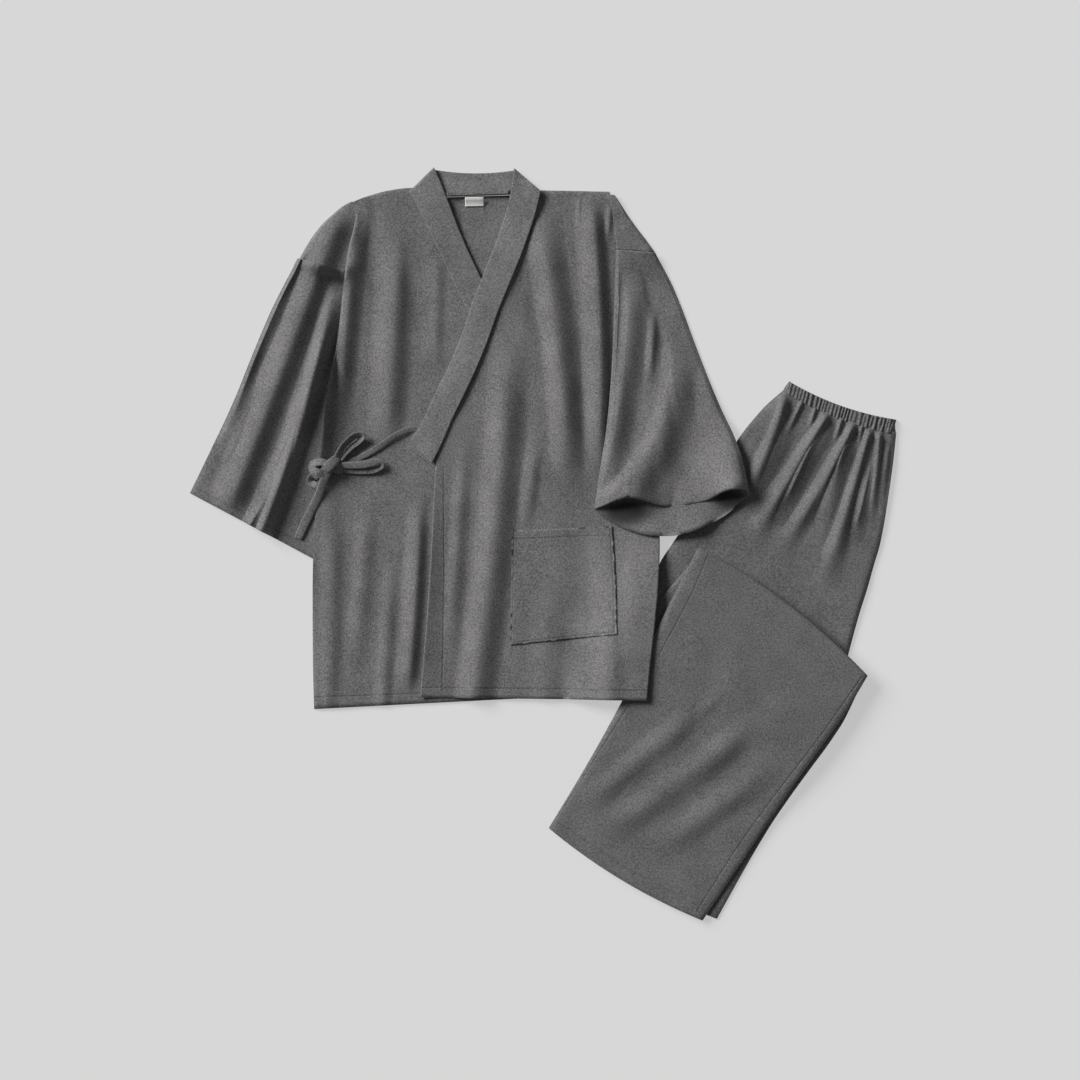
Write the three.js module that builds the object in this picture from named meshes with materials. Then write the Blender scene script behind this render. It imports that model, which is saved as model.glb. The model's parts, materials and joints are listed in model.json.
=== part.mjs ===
// A jinbei set laid flat: a wrap-over jacket, front up and tied at its side, and a pair of long trousers,
// folded in half lengthwise and in three across, which lie partly under it.
// Millimetres. +Z is up from the surface, +Y points to the jacket's collar and +X to the trousers.
import * as THREE from "three";

// ---------------------------------------------------------------- driving dimensions

const CLOTH = 1.5; // one layer of the brushed jersey
const BAND = 2.6; // the collar band and the ties, which are sewn double
const GAP = 0.4; // left between pieces that lie on or meet each other
const SLACK = 4.8; // height of a flattened tube: two layers and the air between them
const EDGE = 6; // width of the strip that rolls over along a folded edge
const TIE_WIDTH = 12;

const CELL = 5; // the grid on which the height of what already lies there is kept
const REACH = 20; // a layer stays clear of everything this near
const DRAPE = 0.6; // and falls away no faster than this beyond it
const SPAN = 50; // how far from a high place a layer may hang before it touches what is below

const JACKET = new THREE.MeshStandardMaterial({ color: 0x615f61, roughness: 0.95, metalness: 0 });
const COLLAR = new THREE.MeshStandardMaterial({ color: 0x69676a, roughness: 0.95, metalness: 0 });
const TROUSERS = new THREE.MeshStandardMaterial({ color: 0x5e5c5d, roughness: 0.95, metalness: 0 });
const WHITE = new THREE.MeshStandardMaterial({ color: 0xf1f1ee, roughness: 0.6, metalness: 0 });

// ---------------------------------------------------------------- tables

// Rows of numbers become objects whose fields are the named columns.
function table(columns, rows) {
  const names = columns.split(" ");
  return rows.map((row) => Object.fromEntries(names.map((name, i) => [name, row[i]])));
}

// A section runs from a piece's left edge to its right one, seen from above with the piece's start at the top.
const sections = (rows) => table("leftX leftY rightX rightY", rows);

// A ridge runs from its start to its end along a line that bows to the right, fades out over a share of its
// length at each end, and falls away over its own width on each side.
const RIDGE = "startX startY endX endY bow left right height fadeIn fadeOut";
const ridges = (rows) => table(RIDGE, rows);

const smooth = (t) => THREE.MathUtils.smoothstep(t, 0, 1);

function ridgeHeight(ridge, x, y) {
  const dx = ridge.endX - ridge.startX;
  const dy = ridge.endY - ridge.startY;
  const length = Math.hypot(dx, dy);
  const along = ((x - ridge.startX) * dx + (y - ridge.startY) * dy) / length ** 2;
  if (along <= 0 || along >= 1) return 0;
  const bowed = ridge.bow * 4 * along * (1 - along);
  const aside = ((y - ridge.startY) * dx - (x - ridge.startX) * dy) / length - bowed;
  const width = aside < 0 ? ridge.left : ridge.right;
  const profile = smooth(1 - Math.abs(aside) / width);
  return ridge.height * profile * smooth(along / ridge.fadeIn) * smooth((1 - along) / ridge.fadeOut);
}

// Where ridges run into each other the sum is softened, so that a crossing isn't a peak.
function foldHeight(folds, x, y) {
  const heights = folds.map((ridge) => ridgeHeight(ridge, x, y));
  return Math.hypot(...heights);
}

// ---------------------------------------------------------------- what lies there already

// The top of everything laid down so far, on a square grid around the middle of the set.
class Bed {
  constructor(halfSide) {
    this.half = Math.ceil(halfSide / CELL);
    this.side = 2 * this.half + 1;
    this.tops = new Float32Array(this.side ** 2).fill(-1);
  }

  lay(geometry) {
    const position = geometry.attributes.position;
    const corners = [new THREE.Vector3(), new THREE.Vector3(), new THREE.Vector3()];
    for (let t = 0; t < geometry.index.count; t += 3) {
      corners.forEach((corner, k) => corner.fromBufferAttribute(position, geometry.index.getX(t + k)));
      this.layTriangle(...corners);
    }
  }

  layTriangle(a, b, c) {
    const area = (b.x - a.x) * (c.y - a.y) - (c.x - a.x) * (b.y - a.y);
    if (area <= 0) return; // it looks down or stands upright
    const slop = -0.1;
    const [iLow, iHigh] = this.range(a.x, b.x, c.x);
    const [jLow, jHigh] = this.range(a.y, b.y, c.y);
    for (let i = iLow; i <= iHigh; i++) {
      for (let j = jLow; j <= jHigh; j++) {
        const x = i * CELL;
        const y = j * CELL;
        const shareB = ((x - a.x) * (c.y - a.y) - (c.x - a.x) * (y - a.y)) / area;
        const shareC = ((b.x - a.x) * (y - a.y) - (x - a.x) * (b.y - a.y)) / area;
        if (shareB < slop || shareC < slop || shareB + shareC > 1 - slop) continue;
        const z = a.z + shareB * (b.z - a.z) + shareC * (c.z - a.z);
        const cell = this.cell(i, j);
        this.tops[cell] = Math.max(this.tops[cell], z);
      }
    }
  }

  range(...values) {
    return [Math.floor(Math.min(...values) / CELL), Math.ceil(Math.max(...values) / CELL)];
  }

  cell(i, j) {
    return (i + this.half) * this.side + j + this.half;
  }

  // The lowest that a layer may lie at a place.
  rest(x, y, reach = REACH) {
    const span = Math.ceil((reach + SPAN) / CELL);
    const i = Math.round(x / CELL);
    const j = Math.round(y / CELL);
    let z = 0;
    for (let di = -span; di <= span; di++) {
      for (let dj = -span; dj <= span; dj++) {
        const top = this.tops[this.cell(i + di, j + dj)];
        if (top < 0) continue;
        const away = Math.hypot((i + di) * CELL - x, (j + dj) * CELL - y);
        z = Math.max(z, top + GAP - DRAPE * Math.max(0, away - reach));
      }
    }
    return z;
  }
}

// ---------------------------------------------------------------- how cloth is made into solids

// The two edges of a piece as smooth curves through the ends of its sections.
function edgesOf(rows) {
  const curve = (side) =>
    new THREE.CatmullRomCurve3(
      rows.map((row) => new THREE.Vector3(row[side + "X"], row[side + "Y"], 0)),
      false,
      "centripetal",
    );
  return [curve("left"), curve("right")];
}

// Shares of the way from 0 to 1 in even steps, with one more close to each end that has a rolled edge.
function shares(steps, startRoll = 0, endRoll = 0) {
  const even = Array.from({ length: steps + 1 }, (_, i) => i / steps);
  if (startRoll > 0) even.splice(1, 0, startRoll);
  if (endRoll > 0) even.splice(even.length - 1, 0, 1 - endRoll);
  return even;
}

// More of the steps go to the first part of the way: as many as `share` of them before `at`.
function crowded(share, at) {
  return (u) => (u < share ? (u / share) * at : at + ((u - share) / (1 - share)) * (1 - at));
}

// How much taller than its thickness a sloping wall is, so that it keeps that thickness across.
function slopeFactor(grid, i, j) {
  const before = grid[i][Math.max(0, j - 1)];
  const after = grid[i][Math.min(grid[i].length - 1, j + 1)];
  const above = grid[Math.max(0, i - 1)][j];
  const below = grid[Math.min(grid.length - 1, i + 1)][j];
  const slope = (p, q) => (q.z - p.z) / Math.max(1, Math.hypot(q.x - p.x, q.y - p.y));
  return Math.min(1.6, Math.hypot(1, slope(before, after), slope(above, below)));
}

// A solid's surface, gathered from rows of points that are joined by quads.
class Wall {
  constructor() {
    this.points = [];
    this.corners = [];
  }

  add(row) {
    const first = this.points.length;
    this.points.push(...row);
    return row.map((_, k) => first + k);
  }

  quad(a, b, c, d) {
    this.corners.push(a, b, c, a, c, d);
  }

  // Joins two loops of the same length, the second further along the piece.
  join(from, to) {
    from.forEach((_, k) => {
      const next = (k + 1) % from.length;
      this.quad(from[k], to[k], to[next], from[next]);
    });
  }

  geometry() {
    return new THREE.BufferGeometry().setFromPoints(this.points).setIndex(this.corners);
  }
}

// A single sheet: a grid of points on its underside, and the same points moved up by its thickness.
function sheet({ rows, steps, columns, height, thickness = CLOTH, roll = {}, spread = (u) => u, bend }) {
  const [left, right] = edgesOf(rows);
  const width = left.getPoint(0.5).distanceTo(right.getPoint(0.5));
  const length = left.getLength();
  const across = shares(columns, (roll.left ?? 0) / width, (roll.right ?? 0) / width);
  const along = shares(steps, (roll.start ?? 0) / length, (roll.end ?? 0) / length);
  const grid = along.map((v) =>
    across.map((share) => {
      const u = spread(share);
      const point = left.getPoint(v).lerp(right.getPoint(v), u);
      if (bend) point.add(bend(u, v));
      const rolled =
        (roll.left && share === 0) ||
        (roll.right && share === 1) ||
        (roll.start && v === 0) ||
        (roll.end && v === 1);
      point.z = rolled ? (roll.floor?.(point.x, point.y) ?? 0) : height(point.x, point.y, u, v);
      return point;
    }),
  );
  const wall = new Wall();
  const loops = grid.map((row, i) => {
    const over = row.map((point, j) => point.clone().setZ(point.z + thickness * slopeFactor(grid, i, j)));
    return wall.add([...over, ...row.toReversed()]);
  });
  loops.slice(1).forEach((loop, i) => wall.join(loops[i], loop));
  closeEnd(wall, loops[0], false);
  closeEnd(wall, loops.at(-1), true);
  return wall.geometry();
}

// Closes the end of a sheet between the points of its top and those under them.
function closeEnd(wall, loop, far) {
  const last = loop.length - 1;
  for (let k = 0; k < last - k - 1; k++) {
    const strip = [loop[k], loop[k + 1], loop[last - k - 1], loop[last - k]];
    wall.quad(...(far ? strip.toReversed() : strip));
  }
}

// A flattened tube of cloth: an upper and an under layer that meet in a rolled edge on each side, open at its
// two ends. `floor` is the height that its underside lies at, `loft` the height of its top above that.
function tube({ rows, steps, columns, underColumns, floor, loft, topEnd, underEnd }) {
  const [left, right] = edgesOf(rows);
  const wall = new Wall();
  const outer = [];
  const inner = [];
  const along = shares(steps);
  const inside = (count, roll) => shares(count, roll, roll).slice(1, -1);
  const layerGrid = (count, zOf, endShift) =>
    along.map((v) => {
      const width = left.getPoint(v).distanceTo(right.getPoint(v));
      return inside(count, EDGE / width).map((u) => {
        const point = left.getPoint(v).lerp(right.getPoint(v), u);
        if (endShift) point.add(endShift(u, v));
        return point.setZ(zOf(point.x, point.y, u, v));
      });
    });
  const under = layerGrid(underColumns, floor, underEnd);
  const over = layerGrid(columns, (x, y, u, v) => floor(x, y, u, v) + loft(x, y, u, v), topEnd);
  along.forEach((v, i) => {
    const inward = right.getPoint(v).sub(left.getPoint(v)).setLength(CLOTH);
    const side = (curve, j) => {
      const point = curve.getPoint(v);
      return point.setZ((under[i].at(j).z + over[i].at(j).z) / 2);
    };
    const leftSide = side(left, 0);
    const rightSide = side(right, -1);
    outer.push(wall.add([leftSide, ...over[i], rightSide, ...under[i].toReversed()]));
    const lowered = over[i].map((p, j) => p.clone().setZ(p.z - CLOTH * slopeFactor(over, i, j)));
    const raised = under[i].map((p, j) => p.clone().setZ(p.z + CLOTH * slopeFactor(under, i, j)));
    const linings = [leftSide.clone().add(inward), ...lowered, rightSide.clone().sub(inward)];
    inner.push(wall.add([...linings, ...raised.toReversed()]));
  });
  for (let i = 0; i < steps; i++) {
    wall.join(outer[i], outer[i + 1]);
    wall.join(inner[i + 1], inner[i]);
  }
  wall.join(inner[0], outer[0]);
  wall.join(outer[steps], inner[steps]);
  return wall.geometry();
}

// A sewn tie: a flat strap that follows a route of points and may turn back over itself.
function strap(route, width = TIE_WIDTH, thickness = BAND) {
  const path = new THREE.CatmullRomCurve3(route, false, "centripetal");
  const steps = 2 * (route.length - 1);
  const wall = new Wall();
  const side = new THREE.Vector3();
  const loops = Array.from({ length: steps + 1 }, (_, i) => {
    const middle = path.getPoint(i / steps);
    const ahead = path.getTangent(i / steps);
    const flat = new THREE.Vector3(-ahead.y, ahead.x, 0);
    if (flat.length() > 0.3) side.copy(flat.dot(side) < 0 ? flat.negate() : flat).normalize();
    const up = ahead.clone().cross(side).negate().normalize();
    const corner = (s, n) =>
      middle.clone().addScaledVector(side, (s * width) / 2).addScaledVector(up, (n * thickness) / 2);
    const top = [corner(-1, 0), corner(-0.7, 1), corner(0.7, 1)];
    const bottom = [corner(1, 0), corner(0.7, -1), corner(-0.7, -1)];
    return wall.add([...top, ...bottom]);
  });
  loops.slice(1).forEach((loop, i) => wall.join(loop, loops[i]));
  capLoop(wall, loops[0], false);
  capLoop(wall, loops.at(-1), true);
  return wall.geometry();
}

// Closes the six-cornered end of a strap with two quads.
function capLoop(wall, [a, b, c, d, e, f], far) {
  const halves = [
    [a, b, c, d],
    [a, d, e, f],
  ];
  halves.forEach((half) => wall.quad(...(far ? half : half.toReversed())));
}

// ---------------------------------------------------------------- the set

const set = new THREE.Group();
const bed = new Bed(700);

function place(name, geometry, material) {
  const mesh = new THREE.Mesh(geometry, material);
  mesh.name = name;
  set.add(mesh);
  bed.lay(geometry);
}

const onBed = (x, y) => bed.rest(x, y);

// Folds stop where the next piece covers the cloth: 1 before the share `from`, 0 a little beyond it.
const coveredBeyond = (u, from) => 1 - smooth((u - from) / 0.11);

// ---------------------------------------------------------------- trousers

const HIP = sections([
  [346.9, 224, 509.9, 162],
  [314, 195, 504, 108],
  [279, 151, 496, 55],
  [245, 97, 488, 5],
  [211, 42, 479, -25],
  [188, 4, 467, -68],
  [172, -32, 454, -108],
  [168, -62, 442, -154],
  [164, -85, 426, -215],
  [163, -103, 407, -288],
]);

// The deep folds that the waist gathers start, fanning out and dying away towards the leg.
const HIP_FOLDS = ridges([
  [356, 226, 262, 42, -14, 30, 26, 11, 0.25, 0.6],
  [392, 206, 288, 22, -16, 24, 22, 14, 0.12, 0.5],
  [428, 190, 330, -20, -20, 22, 24, 15, 0.1, 0.45],
  [452, 180, 396, -40, -8, 20, 24, 14, 0.1, 0.5],
  [476, 174, 432, -70, 4, 16, 20, 12, 0.1, 0.6],
  [500, 168, 470, -40, 6, 14, 16, 10, 0.15, 0.6],
]);

const HIP_LOFT = 7;

place(
  "trousers_hip",
  tube({
    rows: HIP,
    steps: 11,
    columns: 19,
    underColumns: 4,
    floor: () => 0,
    loft: (x, y, u, v) => HIP_LOFT + (1 - smooth((v - 0.35) / 0.3)) * foldHeight(HIP_FOLDS, x, y),
  }),
  TROUSERS,
);

const CASING = sections([
  [350, 238, 512, 181],
  [347, 224.5, 510, 162.5],
]);
const GATHERS = 16;
const GATHER_DEPTH = 3;

// The elastic casing: a flat tube whose upper layer is drawn into even gathers.
place(
  "trousers_casing",
  tube({
    rows: CASING,
    steps: 2,
    columns: 2 * GATHERS,
    underColumns: 4,
    floor: () => 0,
    loft: (x, y, u) => HIP_LOFT + 1 + GATHER_DEPTH * Math.cos(2 * Math.PI * GATHERS * u),
  }),
  TROUSERS,
);

// The legs lie on the hip section and the middle for the first part of their length, and on the surface for
// the rest.
const MIDDLE_LOFT = 5;
const STACK = HIP_LOFT + GAP + MIDDLE_LOFT + GAP;
const STACK_END = 0.29; // shares of the leg's length between which it comes down
const FLOOR_START = 0.6;
const stackAt = (v) => STACK * (1 - smooth((v - STACK_END) / (FLOOR_START - STACK_END)));

const MIDDLE = sections([
  [221, -12, 460, -194],
  [186, -50, 436, -238],
  [154, -92, 408, -284],
]);

// The part between the two folds, all its layers as one rounded slab.
place(
  "trousers_middle",
  sheet({ rows: MIDDLE, steps: 4, columns: 6, height: () => HIP_LOFT + GAP, thickness: MIDDLE_LOFT }),
  TROUSERS,
);

const FAR_LEG = sections([
  [230, -14, 462, -192],
  [184, -97, 432, -258],
  [140, -190, 384, -326],
  [94, -278, 331, -402],
  [52, -350, 286, -478],
  [13, -414, 250, -543],
]);

const NEAR_LEG = sections([
  [222, -5, 467, -190],
  [177, -93, 431, -250],
  [133, -186, 379, -322],
  [87, -274, 326, -400],
  [45, -347, 278, -472],
  [6, -411, 229, -545],
]);

const LEG_FOLDS = ridges([
  [240, -270, 64, -420, -10, 26, 22, 5, 0.3, 0.3],
  [170, -240, 44, -396, 6, 22, 18, 4, 0.4, 0.3],
  [330, -262, 120, -436, -12, 26, 24, 5, 0.4, 0.4],
]);

// The folded top edge of the leg swells out between its corners, and the hem hangs a little low.
function legBow(u, v) {
  const bulge = 4 * u * (1 - u);
  const top = 13 * bulge * Math.max(0, 1 - 4 * v);
  const hem = 10 * bulge * Math.max(0, 4 * v - 3);
  return new THREE.Vector3(0.55, 0.84, 0).multiplyScalar(top - hem);
}

place(
  "leg_far",
  tube({
    rows: FAR_LEG,
    steps: 10,
    columns: 6,
    underColumns: 3,
    floor: (x, y, u, v) => stackAt(v),
    loft: () => SLACK,
    topEnd: legBow,
    underEnd: legBow,
  }),
  TROUSERS,
);

place(
  "leg_near",
  tube({
    rows: NEAR_LEG,
    steps: 10,
    columns: 11,
    underColumns: 3,
    floor: (x, y, u, v) => stackAt(v - 0.05) + SLACK + GAP,
    loft: (x, y) => SLACK + 1 + foldHeight(LEG_FOLDS, x, y),
    topEnd: legBow,
    underEnd: legBow,
  }),
  TROUSERS,
);

// ---------------------------------------------------------------- jacket: back

// Its top follows the shoulders, with the drop shoulder at each side, and below the armholes it narrows to
// just inside the fronts.
const BACK = sections([
  [-274, 489, 90, 500],
  [-320, 450, 130, 455],
  [-346, 417, 152, 425],
  [-282, 397, 118, 411],
  [-283, 310, 130, 310],
  [-296, 238, 142, 215],
  [-306, 150, 154, 110],
  [-315, 60, 160, 20],
  [-322, -30, 160, -50],
  [-328, -90, 156, -98],
  [-328, -140, 151, -140],
  [-328, -186, 147, -182],
  [-327, -230, 142, -220],
]);

const NECK_RISE = 10; // the top edge stands this far above the line between the shoulder points

place(
  "jacket_back",
  sheet({
    rows: BACK,
    steps: BACK.length - 1,
    columns: 10,
    spread: crowded(0.4, 0.7),
    bend: (u, v) => new THREE.Vector3(0, v === 0 ? NECK_RISE * Math.min(1, u / 0.15, (1 - u) / 0.15) : 0, 0),
    height: onBed,
  }),
  JACKET,
);

// ---------------------------------------------------------------- jacket: left arm as seen

const LEFT_SHOULDER = sections([
  [-284, 494, -262, 492],
  [-306, 481, -262, 470],
  [-330, 455, -268, 445],
  [-345, 433, -274, 418],
  [-357, 414, -284, 396],
]);

const LEFT_SLEEVE = sections([
  [-357.2, 413.5, -284.2, 395.5],
  [-391, 350, -289, 330],
  [-424, 273, -299, 245],
  [-452, 203, -309, 160],
  [-483, 138, -318, 70],
  [-514, 74, -326, -26],
]);

// One broad swell down the outside of the arm and one tight ridge that starts at the body's edge.
const LEFT_ARM_FOLDS = ridges([
  [-322, 462, -470, 90, -8, 34, 30, 13, 0.25, 0.15],
  [-300, 400, -434, 0, 12, 18, 16, 17, 0.35, 0.04],
]);

place(
  "shoulder_left",
  sheet({
    rows: LEFT_SHOULDER,
    steps: 5,
    columns: 5,
    roll: { left: 4 },
    height: (x, y, u, v) => bed.rest(x, y, 6) + v * 1.5 + foldHeight(LEFT_ARM_FOLDS, x, y),
  }),
  JACKET,
);

place(
  "sleeve_left",
  tube({
    rows: LEFT_SLEEVE,
    steps: 9,
    columns: 15,
    underColumns: 5,
    floor: () => 0,
    loft: (x, y) => SLACK + foldHeight(LEFT_ARM_FOLDS, x, y),
  }),
  JACKET,
);

// ---------------------------------------------------------------- jacket: under front and its collar

const UNDER_FRONT = sections([
  [-277, 496, -186, 517],
  [-273, 472, -168, 486],
  [-281, 442, -151, 450],
  [-287, 410, -136, 416],
  [-294, 350, -104, 350],
  [-300, 290, -78, 298],
  [-311, 238, -54, 245],
  [-321, 165, -16, 180],
  [-329, 80, -5, 100],
  [-335, 0, -5, 10],
  [-336, -80, -5, -70],
  [-336, -160, -5, -150],
  [-334, -239, -5, -222],
]);

const UNDER_FRONT_FOLDS = ridges([
  [-270, 480, -324, 40, -6, 16, 34, 9, 0.15, 0.4],
  [-236, 470, -262, 190, 0, 28, 30, 7, 0.3, 0.4],
  [-176, 470, -190, 210, 6, 32, 28, 6, 0.3, 0.5],
  [-192, 80, -216, -214, 4, 26, 26, 9, 0.3, 0.25],
  [-290, 20, -300, -200, 0, 34, 30, 4, 0.4, 0.4],
  [-246, 30, -252, -190, 4, 28, 28, 4, 0.4, 0.5],
]);

// Below the armhole, and over the shoulder beyond the arm, the front's edge rolls down to the surface just
// outside the back.
const ARMHOLE_END = -85;
const SHOULDER = 485;
const ARM = -255;
const ARM_SIDE = -310; // left of this the front lies on the sleeve's edge
const underFrontRest = (x, y) => bed.rest(x, y, x < ARM_SIDE ? 42 : 12);
function underFrontEdge(x, y) {
  const rollsDown = y < ARMHOLE_END || (y > SHOULDER && x > ARM);
  return rollsDown ? 0 : underFrontRest(x, y);
}

place(
  "front_under",
  sheet({
    rows: UNDER_FRONT,
    steps: 16,
    columns: 13,
    spread: crowded(0.75, 0.52),
    roll: { left: EDGE, start: EDGE, floor: underFrontEdge },
    bend: (u, v) => new THREE.Vector3(-1, 20, 0).multiplyScalar(u * (1 - u) * (1 - smooth(8 * v))),
    height: (x, y, u) => underFrontRest(x, y) + coveredBeyond(u, 0.42) * foldHeight(UNDER_FRONT_FOLDS, x, y),
  }),
  JACKET,
);

const UNDER_COLLAR = sections([
  [-196, 511, -160, 546],
  [-178, 478, -146, 514],
  [-161, 443, -128, 466],
  [-146, 410, -112, 428],
  [-131, 378, -97, 396],
  [-112, 340, -78, 358],
  [-88, 295, -55, 312],
  [-62, 240, -28, 256],
  [-36, 192, 0, 208],
  [0, 125, 32, 145],
]);

const BACK_COLLAR = sections([
  [-158, 543, -46, 542],
  [-152, 524, -48, 524],
  [-146, 508, -50, 511],
]);

// Behind the neck the band stands up from its seam and lies back, a little hollow along its top.
place(
  "collar_back",
  sheet({
    rows: BACK_COLLAR,
    steps: 3,
    columns: 8,
    thickness: BAND,
    height: (x, y, u, v) => 4 * smooth(v),
    bend: (u, v) => new THREE.Vector3(0, -20 * u * (1 - u) * (1 - v), 0),
  }),
  COLLAR,
);

place(
  "collar_under",
  sheet({ rows: UNDER_COLLAR, steps: 12, columns: 3, thickness: BAND, height: (x, y) => bed.rest(x, y, 28) }),
  COLLAR,
);

// A narrow tape covers the neck seam, and the label hangs from under it.
const NECK_TAPE = sections([
  [-142, 509.5, -51, 512.5],
  [-141, 504.5, -52, 507.5],
]);
place(
  "neck_tape",
  sheet({ rows: NECK_TAPE, steps: 1, columns: 6, height: (x, y) => bed.rest(x, y, 8) }),
  COLLAR,
);

const LABEL = sections([
  [-115, 502, -88, 502.5],
  [-115, 489.5, -88, 490],
]);
const LABEL_TILT = 2.5;
place(
  "label",
  sheet({
    rows: LABEL,
    steps: 2,
    columns: 3,
    thickness: 0.8,
    height: (x, y, u, v) => CLOTH + GAP + LABEL_TILT * (1 - v),
  }),
  WHITE,
);

// ---------------------------------------------------------------- jacket: over front and its collar

const OVER_FRONT = sections([
  [-13, 513, 94, 511],
  [-21, 485, 104, 480],
  [-29, 455, 112, 452],
  [-42, 418, 118, 424],
  [-60, 377, 122, 380],
  [-80, 330, 130, 335],
  [-101, 274, 140, 285],
  [-127, 220, 148, 230],
  [-146, 176, 155, 175],
  [-158, 116, 163, 110],
  [-162, 40, 167, 40],
  [-166, -40, 166, -40],
  [-171, -115, 160, -112],
  [-176, -170, 153, -172],
  [-180, -222, 148, -226],
]);

// Long soft folds that hang from the shoulder, and the strong one beside the free edge.
const OVER_FRONT_FOLDS = ridges([
  [8, 480, 4, 60, 0, 26, 24, 11, 0.3, 0.35],
  [66, 490, 66, 80, 2, 26, 28, 12, 0.25, 0.4],
  [-66, 300, -118, -224, 14, 28, 26, 13, 0.3, 0.02],
  [-28, 250, -34, 0, 4, 24, 24, 7, 0.4, 0.4],
  [88, -20, 92, -200, 0, 36, 36, 3, 0.5, 0.5],
  [10, 60, 28, -200, 0, 36, 40, 3, 0.4, 0.5],
]);

place(
  "front_over",
  sheet({
    rows: OVER_FRONT,
    steps: 17,
    columns: 17,
    roll: { start: EDGE },
    height: (x, y, u) => bed.rest(x, y, 34) + coveredBeyond(u, 0.86) * foldHeight(OVER_FRONT_FOLDS, x, y),
  }),
  JACKET,
);

const OVER_COLLAR = sections([
  [-44, 545, -5, 511],
  [-49, 506, -10, 490],
  [-57, 477, -18, 462],
  [-69, 441, -31, 425],
  [-86, 397, -49, 381],
  [-105, 349, -68, 335],
  [-125, 289, -89, 275],
  [-152, 231, -117, 215],
  [-170, 194, -135, 178],
  [-183, 165, -150, 142],
  [-194, 151, -163, 117],
]);
place(
  "collar_over",
  sheet({ rows: OVER_COLLAR, steps: 14, columns: 3, thickness: BAND, height: onBed }),
  COLLAR,
);

const POCKET = sections([
  [-47, 20, 98, 26],
  [-48, -60, 103, -60],
  [-50, -146, 104, -130],
]);
place("pocket", sheet({ rows: POCKET, steps: 7, columns: 7, height: (x, y) => bed.rest(x, y, 14) }), JACKET);

// ---------------------------------------------------------------- jacket: right arm as seen

const RIGHT_SHOULDER = sections([
  [95, 506, 102, 506],
  [97, 492, 112, 491],
  [100, 468, 127, 467],
  [103, 446, 143, 447],
  [104, 427, 160, 423],
]);

place(
  "shoulder_right",
  sheet({
    rows: RIGHT_SHOULDER,
    steps: 5,
    columns: 4,
    roll: { right: 4 },
    height: (x, y, u, v) => bed.rest(x, y, 10) + 3 * v,
  }),
  JACKET,
);

const RIGHT_SLEEVE = sections([
  [104, 426.5, 160, 422.5],
  [102, 377, 188, 370],
  [98, 267, 222, 280],
  [90, 170, 252, 205],
  [80, 107, 282, 138],
  [72, 50, 297, 72],
]);

const RIGHT_ARM_FOLDS = ridges([
  [108, 410, 88, 130, -4, 10, 24, 8, 0.2, 0.3],
  [184, 340, 92, 50, 26, 15, 40, 12, 0.3, 0.12],
  [236, 200, 266, 80, 0, 30, 24, 8, 0.5, 0.05],
]);

// At the cuff the upper layer arches over two hollows and touches down between them, and the under layer
// reaches further out below.
const LOBES = table("at halfWidth back lift", [
  [0.22, 0.26, 16, 17],
  [0.88, 0.2, 12, 14],
]);
const lobe = (column, u) => {
  const parts = LOBES.map((row) => row[column] * smooth(1 - Math.abs(u - row.at) / row.halfWidth));
  return parts.reduce((sum, part) => sum + part, 0);
};
const nearCuff = (v, share) => smooth((v - 1 + share) / share);
const arch = (u) => Math.sin(Math.PI * u);

function rightArmLoft(x, y, u, v) {
  const folds = (1 - nearCuff(v, 0.25)) * foldHeight(RIGHT_ARM_FOLDS, x, y);
  return SLACK + folds + nearCuff(v, 0.3) * lobe("lift", u);
}

place(
  "sleeve_right",
  tube({
    rows: RIGHT_SLEEVE,
    steps: 11,
    columns: 17,
    underColumns: 6,
    floor: onBed,
    loft: rightArmLoft,
    topEnd: (u, v) => new THREE.Vector3(0, nearCuff(v, 0.12) * (lobe("back", u) - 6 * arch(u)), 0),
    underEnd: (u, v) => new THREE.Vector3(0, -50 * nearCuff(v, 0.15) * arch(u) ** 0.8, 0),
  }),
  JACKET,
);

// ---------------------------------------------------------------- the tie and its bow

// Routes are lists of places with the height of the strap's middle above what it lies on.
const onTop = ({ x, y, lift }) => new THREE.Vector3(x, y, bed.rest(x, y, 8) + BAND / 2 + lift);
const route = (rows) => table("x y lift", rows).map(onTop);

const TIE_STRAP = route([
  [-196, 160, 0.3],
  [-210, 158, 0.3],
  [-226, 149, 0.3],
  [-246, 138, 0.3],
  [-266, 129, 0.3],
  [-291, 118, 1],
]);
place("tie_strap", strap(TIE_STRAP), JACKET);

const TAIL = route([
  [-312, 103, 6],
  [-320, 84, 2],
  [-332, 62, 0.5],
  [-341, 44, 0.3],
  [-348, 26, 0.3],
  [-355, 7, 0.3],
]);
const LOOP_UP = route([
  [-297, 122, 1],
  [-284, 134, 1],
  [-270, 143, 1],
  [-263, 149, 4],
  [-264, 152, 8],
  [-274, 149, 10],
  [-289, 140, 9],
  [-299, 130, 7.5],
]);
const LOOP_RIGHT = route([
  [-293, 108, 1],
  [-270, 109, 1],
  [-244, 111, 1.5],
  [-238, 112, 4.5],
  [-246, 113, 8],
  [-270, 113, 8.5],
  [-291, 112, 7],
]);
const SIDE_TIE = route([
  [-319, 110, 1],
  [-329, 104, 1],
  [-336, 98, 1.5],
  [-339, 96, 5],
  [-333, 99, 8.5],
  [-322, 106, 8],
]);

const bow = { tie_tail: TAIL, loop_up: LOOP_UP, loop_right: LOOP_RIGHT, side_tie: SIDE_TIE };
const straps = Object.entries(bow).map(([name, points]) => [name, strap(points)]);

const KNOT_RADII = { x: 12, y: 12, z: 7 };
const knot = new THREE.SphereGeometry(1, 10, 7);
knot.scale(KNOT_RADII.x, KNOT_RADII.y, KNOT_RADII.z);
knot.translate(-305, 114, bed.rest(-305, 114, 10) + KNOT_RADII.z + 1);

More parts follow.
